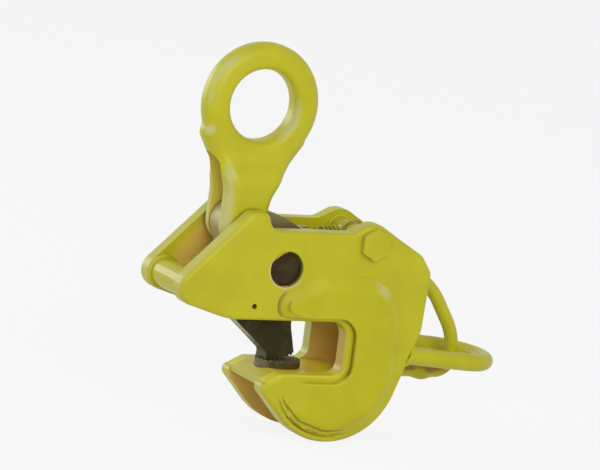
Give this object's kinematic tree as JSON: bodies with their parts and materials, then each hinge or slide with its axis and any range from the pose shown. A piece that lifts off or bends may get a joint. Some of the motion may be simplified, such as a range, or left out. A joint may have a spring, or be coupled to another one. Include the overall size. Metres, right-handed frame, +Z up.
{
  "type": "horizontal plate lifting clamp",
  "caption": "Horizontal plate lifting clamp: C-shaped side plates, toothed cam pulled shut by a forked lifting eye, toothed jaw pad, closing spring, carry handle and tail loop.",
  "frame": {"origin": "centre of the hole of the lifting eye, in the middle plane between the side plates", "axes": "+Z up as the clamp hangs, +X towards the tail loop so the jaw opens towards -X, +Y along the hole of the lifting eye and the pins"},
  "size_m": [0.3191, 0.0955, 0.3298],
  "materials": {
    "side_paint": "thick glossy olive-yellow paint",
    "rim_paint": "thick glossy olive-yellow paint",
    "eye_paint": "glossy olive-yellow paint over a forging",
    "tube_paint": "glossy olive-yellow paint",
    "anvil_paint": "olive-yellow paint, dusty in the hollows",
    "rod_paint": "olive-yellow paint, worn where it is held",
    "bolt_paint": "painted over with the plates",
    "cam_steel": "dark hardened steel with pale worn edges",
    "pad_steel": "dark hardened steel",
    "pin_steel": "oiled dark steel",
    "ring_steel": "black spring steel",
    "spacer_steel": "oiled steel",
    "bush_bronze": "bearing bronze",
    "spring_steel": "spring wire caught by the paint"
  },
  "bodies": {
    "frame": {"near_side_plate": "side_paint", "far_side_plate": "side_paint", "near_cheek_doubler": "rim_paint", "far_cheek_doubler": "rim_paint", "front_cross_tube": "tube_paint", "rear_spacer_tube": "tube_paint", "rear_tie_bolt": "bolt_paint", "rear_tie_nut": "bolt_paint", "main_pin": "pin_steel", "main_pin_rings": "ring_steel", "near_cam_spacer": "spacer_steel", "far_cam_spacer": "spacer_steel", "jaw_anvil": "anvil_paint", "jaw_pad": "pad_steel", "jaw_pad_screw": "pin_steel", "rear_web": "anvil_paint", "carry_handle": "rod_paint", "tail_loop": "rod_paint", "closing_spring": "spring_steel"},
    "cam": {"cam": "cam_steel", "cam_bush": "bush_bronze", "link_bush": "bush_bronze", "spring_pin": "pin_steel"},
    "eye": {"lifting_eye": "eye_paint", "link_pin": "pin_steel"}
  },
  "joints": [
    {"name": "cam_pivot", "type": "hinge", "parent": "frame", "child": "cam", "pos_m": [0.0245, 0, -0.131], "axis": [0, -1, 0], "range_deg": [0, 45], "stiffness_Nm_per_rad": 5, "springref_deg": -8.02, "deforming": ["closing_spring"]},
    {"name": "eye_pivot", "type": "hinge", "parent": "cam", "child": "eye", "pos_m": [-0.0095, 0, -0.1], "axis": [0, 1, 0], "range_deg": [-14, 50]}
  ]
}
